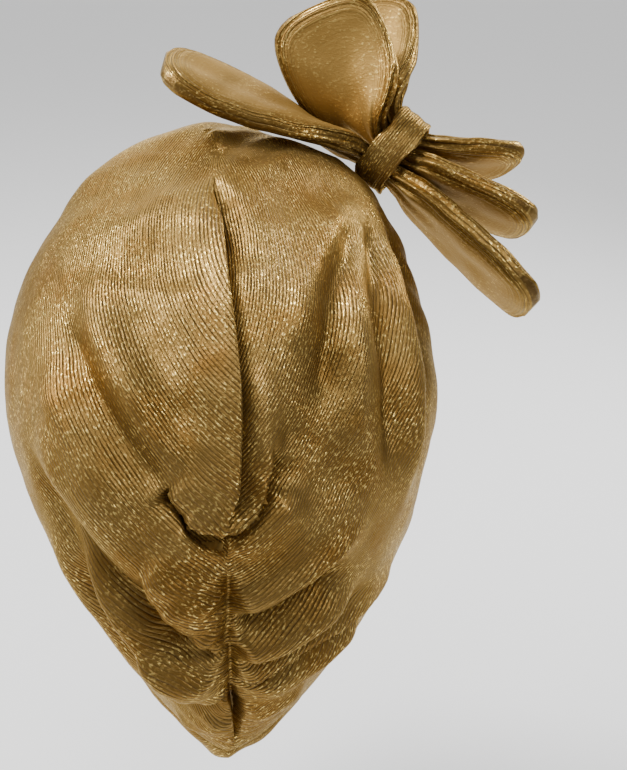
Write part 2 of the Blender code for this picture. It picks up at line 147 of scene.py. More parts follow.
# Crown folds: name, then turn and climb of the start, the middle and the end,
# width as a share of FOLD_WIDTH, depth as a share of FOLD_DEPTH (minus is a valley),
# and roundness, the power of the profile: 2 is a round swell and 1 a sharp crease.
CROWN_FOLDS = (
    ("lap_lump", -13.0, 0.740, -10.5, 0.690, -8.0, 0.640, 0.35, 0.35, 2.0),
    ("top_facet", 2.5, 0.968, -17.0, 0.925, -22.0, 0.850, 0.26, 0.30, 1.6),
    ("top_facet_hollow", -8.0, 0.930, -12.0, 0.890, -10.0, 0.830, 0.40, -0.38, 2.0),
    ("top_teardrop", 1.5, 0.950, -1.5, 0.905, -3.0, 0.860, 0.18, -0.50, 1.8),
    ("dimple", 14.0, 0.598, 10.0, 0.580, 6.0, 0.568, 0.24, -1.30, 1.6),
    ("right_roll_far", -12.0, 0.600, -17.0, 0.630, -22.0, 0.690, 0.30, -0.60, 1.8),
    ("right_lip", -3.0, 0.530, -11.0, 0.560, -21.0, 0.590, 0.34, 0.80, 1.8),
    ("gathered_seam", -2.2, 0.540, -1.5, 0.380, -0.5, 0.020, 0.20, -1.05, 1.3),
    ("left_ruche_top", 17.0, 0.520, 8.0, 0.484, 0.0, 0.450, 0.40, 0.95, 1.8),
    ("left_ruche_middle", 13.0, 0.470, 6.0, 0.440, 0.0, 0.400, 0.30, 0.70, 1.8),
    ("left_ruche_low", 24.0, 0.330, 12.0, 0.320, 0.0, 0.315, 0.42, 1.30, 2.0),
    ("left_valley_low", 44.0, 0.430, 24.0, 0.330, 4.0, 0.286, 0.32, -0.90, 1.7),
    ("left_valley_middle", 46.0, 0.560, 20.0, 0.440, 4.0, 0.385, 0.34, -1.70, 1.6),
    ("left_streak_ridge", 40.0, 0.500, 17.0, 0.345, 6.0, 0.272, 0.34, 1.55, 1.8),
    ("left_streak_outer", 52.0, 0.630, 27.0, 0.485, 12.0, 0.350, 0.40, 0.70, 1.8),
    ("left_valley_outer", 58.0, 0.590, 36.0, 0.430, 17.0, 0.270, 0.36, -0.80, 1.7),
    ("left_low_ridge", 52.0, 0.450, 34.0, 0.310, 14.0, 0.170, 0.42, 0.65, 1.9),
    ("nape_left_puff", 18.0, 0.070, 7.0, 0.145, 1.2, 0.205, 0.40, 0.65, 1.8),
    ("nape_left_valley", 30.0, 0.120, 14.0, 0.190, 1.0, 0.236, 0.26, -0.70, 1.7),
    ("nape_right_puff", -26.0, 0.180, -10.0, 0.190, -2.0, 0.215, 0.42, 0.60, 1.8),
    ("right_ridge_upper", -2.5, 0.455, -14.0, 0.476, -40.0, 0.520, 0.30, 1.00, 1.6),
    ("right_valley_upper", -2.5, 0.425, -14.0, 0.435, -34.0, 0.470, 0.28, -1.35, 1.6),
    ("right_ridge_middle", -2.2, 0.374, -14.0, 0.378, -38.0, 0.410, 0.32, 1.15, 1.8),
    ("right_valley_middle", -2.0, 0.346, -18.0, 0.350, -44.0, 0.370, 0.26, -1.10, 1.7),
    ("right_low_ridge", -3.0, 0.262, -22.0, 0.268, -46.0, 0.262, 0.36, 0.95, 1.8),
    ("left_long_valley", 58.0, 0.760, 29.0, 0.668, 9.0, 0.590, 0.40, -1.05, 1.7),
    ("left_long_ridge", 54.0, 0.690, 33.0, 0.600, 8.0, 0.420, 0.60, 0.70, 2.0),
    ("left_inner_ridge", 54.0, 0.805, 24.0, 0.700, 9.0, 0.612, 0.40, 0.75, 1.8),
    ("left_inner_valley", 34.0, 0.800, 17.0, 0.735, 8.0, 0.640, 0.42, -0.60, 1.8),
    ("left_crescent", 46.0, 0.825, 30.0, 0.910, 11.0, 0.850, 0.65, 0.55, 2.0),
    ("left_crescent_hollow", 36.0, 0.790, 24.0, 0.850, 12.0, 0.800, 0.55, -0.55, 2.0),
    ("right_hollow", -35.0, 0.745, -27.0, 0.650, -31.0, 0.535, 0.85, -0.95, 2.0),
    ("right_knot_fold_back", -80.0, 0.862, -38.0, 0.815, -22.0, 0.740, 0.36, 0.80, 1.8),
    ("right_knot_valley_back", -84.0, 0.840, -44.0, 0.785, -28.0, 0.680, 0.32, -0.90, 1.7),
    ("right_knot_fold", -93.0, 0.830, -52.0, 0.780, -34.0, 0.600, 0.38, 0.85, 1.8),
    ("right_knot_valley", -97.0, 0.800, -60.0, 0.735, -44.0, 0.500, 0.34, -0.95, 1.7),
    ("right_knot_ridge", -103.0, 0.785, -70.0, 0.720, -50.0, 0.440, 0.40, 0.90, 1.8),
    ("right_edge_valley", -108.0, 0.750, -82.0, 0.660, -60.0, 0.420, 0.46, -0.85, 2.0),
    ("right_edge_ridge", -116.0, 0.720, -98.0, 0.620, -76.0, 0.380, 0.55, 0.60, 2.0),
    ("front_fold_right", -125.0, 0.700, -142.0, 0.480, -155.0, 0.220, 0.70, 0.65, 2.0),
    ("front_fold_middle", -138.0, 0.780, -168.0, 0.600, -195.0, 0.330, 0.80, 0.70, 2.0),
    ("front_fold_left", -140.0, 0.870, -185.0, 0.780, -225.0, 0.560, 0.80, 0.65, 2.0),
    ("top_fold_left", -140.0, 0.950, -235.0, 0.900, -262.0, 0.740, 0.80, 0.55, 2.0),
)

# The back seam: climb and turn, up the gathers and then along the edge of the centre lap.
SEAM_LINE = (
    (0.000, -1.0),
    (0.250, -0.4),
    (0.450, -1.2),
    (0.562, -2.5),
    (0.743, -3.7),
    (0.960, 3.7),
    (1.000, 4.0),
)

# Laps, where the cloth on one side rolls over the hollow beside it: name, then turn and
# climb of the start, the middle and the end; the side that lies over, 1 on the right of the
# line as it runs, seen from outside, or -1 on its left; how far its edge stands up, how deep
# the cloth under it lies and how far the roll reaches over it, as shares of FOLD_DEPTH; then
# the widths of roll and hollow as shares of FOLD_WIDTH.
CROWN_LAPS = (
    ("centre_lap", 3.7, 0.960, -3.7, 0.743, -2.5, 0.562, 1, 0.60, 1.10, 0.75, 0.45, 0.42),
    ("pocket_edge", 12.0, 0.610, 5.0, 0.571, -3.0, 0.562, -1, 0.40, 1.15, 0.55, 0.40, 0.22),
    ("ear_edge", 13.5, 0.600, 6.5, 0.548, -2.5, 0.530, 1, 0.50, 0.60, 0.40, 0.30, 0.16),
    ("right_roll", -1.0, 0.556, -8.5, 0.578, -15.0, 0.650, -1, 0.35, 0.95, 0.30, 0.18, 0.26),
    ("ruche_middle_edge", 18.0, 0.500, 5.7, 0.418, -0.5, 0.368, -1, 0.60, 1.05, 0.45, 0.42, 0.34),
    ("ruche_low_edge", 24.0, 0.246, 7.8, 0.255, -0.5, 0.284, -1, 0.50, 0.95, 0.35, 0.42, 0.26),
    ("right_low_edge", -0.5, 0.300, -22.5, 0.326, -58.0, 0.306, -1, 0.60, 1.25, 0.45, 0.45, 0.38),
    ("tab_crease", 0.8, 0.250, -0.4, 0.168, -1.0, 0.030, 1, 0.50, 0.85, 0.30, 0.30, 0.22),
)

# The hem's crimping: its share of the hem's thickness, and its spacing
HEM_CRIMP = 0.10
HEM_CRIMP_SPACING = 0.0031

# The hem's swelling: turn, height as a share of HEM_HEIGHT, thickness of HEM_THICKNESS.
HEM_SWELLING = (
    (-180.0, 1.00, 1.00),
    (-60.0, 1.00, 1.00),
    (-18.0, 1.10, 1.10),
    (-3.0, 0.80, 0.85),
    (7.0, 1.55, 1.30),
    (22.0, 1.05, 1.00),
    (60.0, 1.00, 1.00),
    (180.0, 1.00, 1.00),
)

# The bow stands on the crown at this turn and climb.
# It leans this way out of the crown and runs this way along it (x, y, z).
PEAK_TURN = -122.0
PEAK_CLIMB = 0.765
BOW_OUT = (-0.63, -0.38, 0.68)
BOW_RUN = (-0.82, 0.33, -0.47)

# Bow loops: name, side (-1 towards the middle of the head), place in the stack from the crown,
# fan away from the crown and swing to the back in degrees, roll in degrees,
# length as a share of LOOP_LENGTH, width of LOOP_WIDTH and thickness of LOOP_THICKNESS.
BOW_LOOPS = (
    ("bow_loop_left_lower", -1, -1, -19.0, 13.0, -38.0, 1.20, 0.96, 0.84),
    ("bow_loop_left_middle", -1, 0, 22.0, 9.0, 78.0, 0.80, 1.06, 0.84),
    ("bow_loop_left_upper", -1, 1, 48.0, -12.0, 76.0, 0.80, 0.70, 0.96),
    ("bow_loop_right_lower", 1, -1, -9.0, 5.0, -4.0, 1.05, 0.98, 0.92),
    ("bow_loop_right_middle", 1, 0, 9.0, 0.0, -4.0, 0.79, 0.96, 0.88),
    ("bow_loop_right_upper", 1, 1, 32.0, -13.0, -8.0, 0.62, 0.74, 0.76),
)

# Loop sections: place from root to tip, half width and half thickness as shares
# of half LOOP_WIDTH and half LOOP_THICKNESS at the belly.
LOOP_SECTIONS = (
    (0.00, 0.40, 0.60),
    (0.10, 0.46, 0.62),
    (0.25, 0.64, 0.70),
    (0.45, 0.90, 0.88),
    (0.68, 1.00, 1.00),
    (0.86, 1.00, 0.98),
    (0.95, 0.90, 0.86),
    (0.985, 0.72, 0.66),
    (1.00, 0.54, 0.44),
)

# A loop's rim: ribs that follow its edge and turn round its tip
TURN_SOFTNESS = 0.0040
RIM_GROOVE = 0.00045
RIM_SPACING = 0.0030
RIM_REACH = 0.0062

# A loop's faces: how puffed they are, how deep and broad they are dished, their wrinkles, and
# the number, height and place of the gathers at the root
CUSHION_POWER = 0.70
DISH_SHARE = 0.30
DISH_SPREAD = 0.55
LOOP_WRINKLE = 0.0008
LOOP_WRINKLE_SPACING = 0.013
LOOP_PLEATS = 9
LOOP_PLEAT_SHARE = 0.13
LOOP_PLEATS_AT = 0.26

# The knot's strip: how square its sides and faces are, its wavering (height, waves, phase),
# and the height and spacing of its crumples
BAND_SIDE_POWER = 0.45
BAND_FACE_POWER = 0.6
BAND_WAVERS = ((0.0006, 3, 0.8), (0.0004, 7, 0.0))
BAND_CRUMPLE = 0.00035
BAND_CRUMPLE_SPACING = 0.0011


def through_rows(rows, places):
    """Smooth curves through a table whose first column is the place along them."""
    table = np.array(rows, dtype=float)
    along = table[:, 0]
    values = table[:, 1:]
    last = len(along) - 1
    before = np.maximum(np.arange(last + 1) - 1, 0)
    after = np.minimum(np.arange(last + 1) + 1, last)
    slopes = (values[after] - values[before]) / (along[after] - along[before])[:, None]
    places = np.clip(np.asarray(places, dtype=float), along[0], along[-1])
    row = np.clip(np.searchsorted(along, places, side="right") - 1, 0, last - 1)
    width = (along[row + 1] - along[row])[..., None]
    t = (places - along[row])[..., None] / width
    start = (2 * t ** 3 - 3 * t ** 2 + 1) * values[row]
    start_slope = (t ** 3 - 2 * t ** 2 + t) * width * slopes[row]
    end = (3 * t ** 2 - 2 * t ** 3) * values[row + 1]
    end_slope = (t ** 3 - t ** 2) * width * slopes[row + 1]
    return start + start_slope + end + end_slope


def unit(vectors):
    """Vectors of length 1 in the same directions."""
    lengths = np.linalg.norm(vectors, axis=-1, keepdims=True)
    return vectors / np.maximum(lengths, 1e-12)


def smooth_step(values):
    """A soft rise from 0 to 1 as the values go from 0 to 1."""
    t = np.clip(values, 0.0, 1.0)
    return t * t * (3 - 2 * t)


def wrinkle(points, period, seed):
    """Smooth wandering values from about -1 to 1 at each point, steady from run to run."""
    shift = Vector((seed * 7.3, seed * 3.1, seed * 5.7))
    flat = points.reshape(-1, 3)
    values = [noise.noise(Vector(p / period) + shift) for p in flat]
    return np.array(values).reshape(points.shape[:-1])


# The crown's form


def crown_form(turn, climb):
    """Points on the crown's plain form, before its folds."""
    section = through_rows(CROWN_SECTIONS, climb)
    back_y, front_y = section[..., 0] * CROWN_DEPTH, section[..., 2] * CROWN_DEPTH
    back_z, front_z = section[..., 1] * CROWN_HEIGHT, section[..., 3] * CROWN_HEIGHT
    half_width = section[..., 4] * CROWN_WIDTH
    nape_dip = section[..., 5] * CROWN_HEIGHT
    squareness = section[..., 6]
    sway = section[..., 7] * CROWN_WIDTH
    angle = np.radians(turn)
    forward, aside = np.cos(angle), np.sin(angle)
    reach = (np.abs(forward) ** squareness + np.abs(aside) ** squareness) ** (-1 / squareness)
    forward, aside = forward * reach, aside * reach
    from_back = np.abs((np.asarray(turn) + 180) % 360 - 180) / 90
    x = aside * half_width + sway
    y = (back_y + front_y) / 2 + forward * (back_y - front_y) / 2
    z = (back_z + front_z) / 2 + forward * (back_z - front_z) / 2
    z = z - nape_dip * np.clip(1 - from_back, 0, 1) ** DIP_POWER
    return np.stack([x, y, z], axis=-1)


def crown_normal(turn, climb):
    """Outward direction of the plain form, taken just below the top at the top itself."""
    turn = np.asarray(turn, dtype=float)
    climb = np.clip(climb, 0.004, 0.990)
    around = crown_form(turn + 0.5, climb) - crown_form(turn - 0.5, climb)
    upward = crown_form(turn, climb + 0.004) - crown_form(turn, climb - 0.004)
    return unit(np.cross(upward, around))


def fold_route(row):
    """A fold's line on the plain form, its sideways directions and its places from 0 to 1."""
    t = np.linspace(0.0, 1.0, FOLD_STEPS)
    turn = through_rows(((0.0, row[0]), (0.5, row[2]), (1.0, row[4])), t)[..., 0]
    climb = through_rows(((0.0, row[1]), (0.5, row[3]), (1.0, row[5])), t)[..., 0]
    route = crown_form(turn, climb)
    sideways = unit(np.cross(np.gradient(route, axis=0), crown_normal(turn, climb)))
    return route, sideways, t


def near_route(points, row, reach):
    """Which points lie within reach of a fold's line, with their place and sideways offset."""
    route, sideways, places = fold_route(row)
    ahead = np.gradient(route, axis=0)
    low, high = route.min(axis=0) - reach, route.max(axis=0) + reach
    near = np.nonzero(((points > low) & (points < high)).all(axis=1))[0]
    offsets = points[near][:, None, :] - route[None, :, :]
    distances = np.linalg.norm(offsets, axis=-1)
    best = np.argmin(distances, axis=1)
    chosen = np.arange(len(near))
    offsets = offsets[chosen, best]
    offset = (offsets * sideways[best]).sum(axis=1)
    beyond = (offsets * ahead[best]).sum(axis=1) / (ahead[best] ** 2).sum(axis=1)
    place = places[best] + beyond * (places[1] - places[0])
    beyond = np.clip(beyond, -1.0, 1.0)[:, None] * ahead[best]
    distance = np.linalg.norm(offsets - beyond, axis=-1)
    return near, np.clip(place, 0.0, 1.0), distance, offset, sideways[best]


def fold_lift(points, row):
    """How far one fold lifts each point of the plain form."""
    width, depth, roundness = row[7] * FOLD_WIDTH, row[8] * FOLD_DEPTH, row[9]
    near, place, distance, _, _ = near_route(points, row[1:7], width * 3)
    ends = smooth_step(place / FOLD_END_SHARE) * smooth_step((1 - place) / FOLD_END_SHARE)
    lift = np.zeros(len(points))
    lift[near] = depth * ends * np.exp(-(distance / width) ** roundness)
    return lift


def lap_move(points, normals, row):
    """A lap: the edge of one side rolls up and over the hollow beside it."""
    side, stand, depth, over_reach, roll_share, hollow_share = row[7:]
    roll_width, hollow_width = roll_share * FOLD_WIDTH, hollow_share * FOLD_WIDTH
    widest = max(roll_width, hollow_width)
    near, place, _, offset, sideways = near_route(points, row[1:7], 3 * widest)
    offset = offset * side
    ends = smooth_step(place / LAP_START_SHARE) * smooth_step((1 - place) / LAP_END_SHARE)
    roll = np.exp(-(np.clip(offset, 0, None) / roll_width) ** 1.6)
    hollow = np.exp(-(np.clip(-offset, 0, None) / hollow_width) ** 1.4)
    over = smooth_step(offset / (LAP_EDGE_SHARE * FOLD_WIDTH) + 0.5)
    lift = FOLD_DEPTH * (stand * roll * over - depth * hollow * (1 - over))
    reach = over_reach * FOLD_DEPTH * roll * over
    move = np.zeros_like(points)
    move[near] = normals[near] * (lift * ends)[:, None]
    move[near] -= sideways * (side * reach * ends)[:, None]
    return move


def bow_seat():
    """Foot of the bow on the plain form, and the directions out, along and across the bow."""
    foot = crown_form(PEAK_TURN, PEAK_CLIMB)
    outward = unit(np.array(BOW_OUT))
    run = np.array(BOW_RUN)
    run = unit(run - outward * (run @ outward))
    across = np.cross(run, outward)
    return foot, outward, run, across


def bow_middle():
    """Middle of the knot, with the band's lowest edge just clear of the crown's peak."""
    foot, outward, run, across = bow_seat()
    normal = crown_normal(PEAK_TURN, PEAK_CLIMB)
    oval = math.hypot(BAND_RISE / 2 * (outward @ normal), BAND_SPAN / 2 * (across @ normal))
    height = PEAK_RISE + GAP + oval + BAND_WIDTH / 2 * abs(run @ normal)
    return foot + normal * height


def peak_lift(points):
    """The crown drawn up towards the bow, in pleats that spread from it."""
    foot, _, run, across = bow_seat()
    offsets = points - foot
    distance = np.linalg.norm(offsets, axis=-1)
    reach = np.clip((PEAK_REACH - distance) / (PEAK_REACH - PEAK_TOP_RADIUS), 0, 1)
    bearing = np.arctan2(offsets @ across, offsets @ run)
    far = np.clip((PLEAT_REACH - distance) / PLEAT_REACH, 0, 1)
    spread = np.sin(math.pi * np.clip(far * 1.15, 0, 1)) ** 2
    fine = np.cos(FINE_PLEAT_COUNT * bearing + 1.3 + 14 * distance / PEAK_REACH)
    pleat = np.cos(PLEAT_COUNT * bearing) + FINE_PLEAT_SHARE * fine
    return PEAK_RISE * reach ** DRAW_POWER + PLEAT_HEIGHT * pleat * spread


def seam_gathers(turn, climb, points):
    """Small puckers that the gathered seam draws up on both sides of it."""
    aside = np.abs((turn + 180) % 360 - 180)
    fade = np.exp(-aside / PUCKER_SPREAD) * smooth_step((PUCKER_TOP - climb) / 0.06)
    fade = fade * smooth_step(climb / 0.03)
    side = np.where(turn > 0, 1.0, -1.0)
    slanted = climb * PUCKER_RATE + aside * PUCKER_SLANT * side + 1.2 * wrinkle(points, 0.016, 3)
    return PUCKER_HEIGHT * fade * np.sin(slanted)


def crown_surface(turn, climb):
    """Points on the outside of the folded crown."""
    shape = np.shape(turn)
    flat_turn, flat_climb = np.ravel(turn), np.ravel(climb)
    points = crown_form(flat_turn, flat_climb)
    normals = crown_normal(flat_turn, flat_climb)
    lift = peak_lift(points) + seam_gathers(flat_turn, flat_climb, points)
    for row in CROWN_FOLDS:
        lift = lift + fold_lift(points, row)
    for height, spacing, seed in CROWN_WRINKLES:
        lift = lift + height * wrinkle(points, spacing, seed)
    moved = points + normals * lift[:, None]
    for row in CROWN_LAPS:
        moved = moved + lap_move(points, normals, row)
    return moved.reshape(shape + (3,))


def seam_shift(turn, climb):
    """How far the cloth's back seam strays from the centre back, fading away round the crown."""
    stray = through_rows(SEAM_LINE, climb)[..., 0]
    return stray * (1 - smooth_step((np.abs(turn) - 8.0) / 50.0))


def crown_turns(count):
    """Turns round the crown, closer together at the folded back."""
    t = np.linspace(-1.0, 1.0, count, endpoint=False)
    return 180 * (BACK_CROWDING * t + (1 - BACK_CROWDING) * t ** 3)


def steady_field(spans, rises, want_around, want_up):
    """Heights over a grid whose slopes come nearest the wanted ones, by conjugate gradients."""
    weight_around = 0.5 * (rises[:, 1:] + rises[:, :-1]) / spans
    weight_up = 0.5 * (spans[1:] + spans[:-1])
    weight_up = np.concatenate([weight_up, weight_up[:, -1:]], axis=1) / rises[:-1]

    def gather(around, up):
        total = np.zeros_like(rises)
        total[:, 1:] += around
        total[:, :-1] -= around
        total[1:] += up
        total[:-1] -= up
        return total

    def pull(values):
        around = weight_around * np.diff(values, axis=1)
        return gather(around, weight_up * np.diff(values, axis=0))

    heights = np.zeros_like(rises)
    left = gather(weight_around * want_around * spans, weight_up * want_up * rises[:-1])
    course = left.copy()
    power = (left * left).sum()
    for _ in range(FIELD_STEPS):
        pulled = pull(course)
        step = power / (course * pulled).sum()
        heights += step * course
        left -= step * pulled
        fresh = (left * left).sum()
        course = left + fresh / power * course
        power = fresh
    return heights


def rib_field():
    """Places across and along the ribs over the crown, cut open down its back seam."""
    turns = np.linspace(0.0, 360.0, FIELD_TURNS)
    climbs = np.linspace(0.0, 1.0, FIELD_CLIMBS)
    turn, climb = np.meshgrid(turns, climbs)
    points = crown_form(turn, climb)
    spans = np.maximum(np.linalg.norm(np.diff(points, axis=1), axis=-1), 0.0006)
    rises = np.linalg.norm(np.diff(points, axis=0), axis=-1)
    rises = np.concatenate([rises, rises[-1:]], axis=0)
    from_back = np.minimum(turn, 360 - turn)
    lean = through_rows(RIB_LEANS, climb)[..., 0]
    lean = lean + (90 - lean) * smooth_step((from_back - LEVEL_FROM) / (LEVEL_BY - LEVEL_FROM))
    lean = lean + (from_back - lean) * smooth_step((climb - 0.70) / 0.28)
    lean = np.radians(lean)
    side = np.where(turn <= 180, 1.0, -1.0)
    cosine, sine = np.cos(lean), np.sin(lean)
    across = steady_field(spans, rises, (side * cosine)[:, 1:], -sine[1:])
    along = steady_field(spans, rises, (side * sine)[:, 1:], cosine[1:])
    return across, along


def read_field(field, turn, climb):
    """A field's value at turns from 0 to 360 and climbs, between its grid points."""
    column = np.clip(turn / 360 * (FIELD_TURNS - 1), 0, FIELD_TURNS - 1.001)
    row = np.clip(climb * (FIELD_CLIMBS - 1), 0, FIELD_CLIMBS - 1.001)
    c, r = column.astype(int), row.astype(int)
    x, y = column - c, row - r
    low = field[r, c] * (1 - x) + field[r, c + 1] * x
    high = field[r + 1, c] * (1 - x) + field[r + 1, c + 1] * x
    return low * (1 - y) + high * y


# Making objects


def mesh_object(name, points, faces, corners, material):
    """An object from points and faces, with the UV place of each face corner."""
    mesh = bpy.data.meshes.new(name)
    mesh.from_pydata([tuple(p) for p in points], [], faces)
    if corners is not None:
        layer = mesh.uv_layers.new(name="cloth")
        layer.data.foreach_set("uv", np.asarray(corners, dtype=np.float32).ravel())
    mesh.update()
    mesh.shade_smooth()
    mesh.materials.append(material)
    piece = bpy.data.objects.new(name, mesh)
    bpy.context.scene.collection.objects.link(piece)
    return piece


def make_crown(material):
    """The folded crown and its plain lining, one closed wall with the head opening below."""
    turns = crown_turns(CROWN_SIDES)
    climbs = np.linspace(0.0, 1.0, CROWN_ROWS + 1) ** 0.97
    turn, climb = np.meshgrid(turns, climbs)
    outside = crown_surface(turn + seam_shift(turn, climb), climb)
    top = outside[-1].mean(axis=0)
    outside = outside[:-1]
    fields = rib_field()
    open_turns = np.where(turns < 0, turns + 360, turns)
    across, along = (read_field(f, *np.meshgrid(open_turns, climbs)) for f in fields)
    seam = [read_field(f, np.full_like(climbs, 360.0), climbs) for f in fields]
    lining_turns = turns[::LINING_STEP]
    lining_climbs = np.linspace(0.0, 1.0, LINING_ROWS + 1)[:-1]
    inner_turn, inner_climb = np.meshgrid(lining_turns, lining_climbs)
    inside = crown_surface(inner_turn, inner_climb)
    outward = np.cross(np.gradient(inside, axis=0), np.roll(inside, -1, 1) - np.roll(inside, 1, 1))
    inside = inside - unit(outward) * CLOTH_WALL
    inner_top = top - np.array([0.0, 0.0, CLOTH_WALL])
    points = list(outside.reshape(-1, 3)) + [top]
    first_inner = len(points)
    points += list(inside.reshape(-1, 3)) + [inner_top]
    faces, corners = [], []
    rows, count = len(outside), CROWN_SIDES
    half = count // 2
    for row in range(rows):
        for i in range(count):
            j = (i + 1) % count
            cut = j == half
            if row + 1 < rows:
                low, high = row * count, (row + 1) * count
                faces.append((low + i, low + j, high + j, high + i))
                places = ((row, i), (row, j), (row + 1, j), (row + 1, i))
            else:
                faces.append((row * count + i, row * count + j, first_inner - 1))
                places = ((row, i), (row, j), (row + 1, i))
            for r, c in places:
                at_seam = cut and c == j
                corner = (seam[0][r], seam[1][r]) if at_seam else (across[r, c], along[r, c])
                corners.append(corner)
    inner_count = len(lining_turns)
    for row in range(LINING_ROWS):
        for i in range(inner_count):
            j = (i + 1) % inner_count
            low, high = first_inner + row * inner_count, first_inner + (row + 1) * inner_count
            if row + 1 < LINING_ROWS:
                face = (low + j, low + i, high + i, high + j)
            else:
                face = (low + j, low + i, len(points) - 1)
            faces.append(face)
            corners += [(LINING_PATCH * i, LINING_PATCH * row)] * len(face)
    for i in range(inner_count):
        j = (i + 1) % inner_count
        outer = [(i * LINING_STEP + k) % count for k in range(LINING_STEP + 1)]
        face = (first_inner + i, first_inner + j) + tuple(reversed(outer))
        faces.append(face)
        corners += [(LINING_PATCH * i, 0.0)] * len(face)
    piece = mesh_object("crown_cloth", points, faces, corners, material)
    # Turns run clockwise seen from above, so the faces as listed look inward.
    piece.data.flip_normals()
    return piece


def make_hem(material):
    """The rolled casing below the crown's lower edge, with a pinch at the nape."""
    turns = crown_turns(CROWN_SIDES)
    edge = crown_surface(turns, np.zeros_like(turns))
    above = crown_surface(turns, np.full_like(turns, 0.02))
    outward = crown_normal(turns, np.zeros_like(turns))
    down = unit(edge - above)
    outward = unit(outward - down * (outward * down).sum(axis=-1, keepdims=True))
    swelling = through_rows(HEM_SWELLING, turns)
    half_height = swelling[:, :1] * HEM_HEIGHT / 2
    half_thickness = swelling[:, 1:] * HEM_THICKNESS / 2
    middle = edge - outward * CLOTH_WALL / 2 + down * (half_height + GAP)
    spans = np.linalg.norm(np.diff(edge, axis=0, append=edge[:1]), axis=-1)
    along = np.concatenate([[0.0], np.cumsum(spans)])
    angles = np.linspace(0, 2 * math.pi, HEM_SIDES, endpoint=False)
    rings = []
    for angle in angles:
        crimp = np.sin(along[:-1] / HEM_CRIMP_SPACING + 2 * math.sin(angle))[:, None]
        puff = 1 + HEM_CRIMP * crimp
        aside = outward * half_thickness * math.cos(angle) * puff
        rings.append(middle + aside - down * half_height * math.sin(angle))
    rings = np.stack(rings)
    faces, corners = [], []
    for ring in range(HEM_SIDES):
        for i in range(CROWN_SIDES):
            j, upper = (i + 1) % CROWN_SIDES, (ring + 1) % HEM_SIDES
            face = (ring * CROWN_SIDES + i, ring * CROWN_SIDES + j,
                    upper * CROWN_SIDES + j, upper * CROWN_SIDES + i)
            faces.append(face)
            low, high = HEM_PATCH * ring, HEM_PATCH * (ring + 1)
            corners += [(along[i] + low, low), (along[i + 1] + low, low),
                        (along[i + 1] + high, high), (along[i] + high, high)]
    hem = mesh_object("hem_roll", rings.reshape(-1, 3), faces, corners, material)
    face_outwards(hem)
    return hem


def face_outwards(piece):
    """Turn every face of a closed piece outward."""
    skin = bmesh.new()
    skin.from_mesh(piece.data)
    bmesh.ops.recalc_face_normals(skin, faces=skin.faces)
    skin.to_mesh(piece.data)
    skin.free()


def squared(value, power):
    """A sine or cosine pushed out towards a square."""
    return math.copysign(abs(value) ** power, value)


def make_band(material):
    """The strip wrapped round the middle of the bow, crumpled where it is pulled tight."""
    outward, run, across = bow_seat()[1:]
    middle = bow_middle()
    around = np.linspace(0, 2 * math.pi, BAND_SIDES, endpoint=False)
    profile = np.linspace(0, 2 * math.pi, BAND_EDGES, endpoint=False)
    mean_radius = (BAND_SPAN + BAND_RISE) / 4
    points, places = [], []
    for a in around:
        for p in profile:
            wide = squared(math.cos(p), BAND_SIDE_POWER) * BAND_WIDTH / 2
            thick = squared(math.sin(p), BAND_FACE_POWER) * BAND_WALL / 2
            waver = sum(rise * math.sin(waves * a + phase) for rise, waves, phase in BAND_WAVERS)
            crumple = math.sin(wide / BAND_CRUMPLE_SPACING + 1.6 * math.sin(2 * a))
            crumple = BAND_CRUMPLE * crumple * (math.sin(p) > 0)
            depth = thick - BAND_WALL / 2 + crumple
            x = math.cos(a) * (BAND_SPAN / 2 + depth)
            y = math.sin(a) * (BAND_RISE / 2 + depth)
            points.append(middle + across * x + outward * y + run * (wide + waver))
            places.append((wide + waver, a * mean_radius))
    count, rows = len(profile), len(around)
    faces, corners = [], []
    for r in range(rows):
        for i in range(count):
            j, s = (i + 1) % count, (r + 1) % rows
            face = (r * count + i, r * count + j, s * count + j, s * count + i)
            faces.append(face)
            turn_on = 2 * math.pi * mean_radius if s == 0 else 0.0
            for k, number in enumerate(face):
                u, v = places[number]
                corners.append((u, v + (turn_on if k > 1 else 0.0)))
    band = mesh_object("knot_strip", points, faces, corners, material)
    face_outwards(band)
    return band


def loop_ends(side, stack, fan, swing, length):
    """Root, two guiding points and tip of a loop's centre line."""
    outward, run, across = bow_seat()[1:]
    fan, swing = math.radians(fan), math.radians(swing)
    ahead = run * side
    aim = ahead * math.cos(fan) * math.cos(swing)
    aim = aim + outward * math.sin(fan) * math.cos(swing) + across * math.sin(swing)
    root = bow_middle() + outward * stack * STACK_PITCH + ahead * GAP
    leaving = root + ahead * BAND_WIDTH * STRAIGHT_SHARE
    tip = bow_middle() + outward * stack * STACK_PITCH / 2 + aim * length
    return root, leaving, leaving + aim * length * TURNING_SHARE, tip


def loop_route(ends, places):
    """Points along the centre line, and the way it heads at each."""
    root, leaving, guide, tip = ends
    t = places[:, None]
    route = (1 - t) ** 3 * root + 3 * t * (1 - t) ** 2 * leaving
    route = route + 3 * t ** 2 * (1 - t) * guide + t ** 3 * tip
    heading = (1 - t) ** 2 * (leaving - root) + 2 * t * (1 - t) * (guide - leaving)
    heading = heading + t ** 2 * (tip - guide)
    return route, unit(heading)


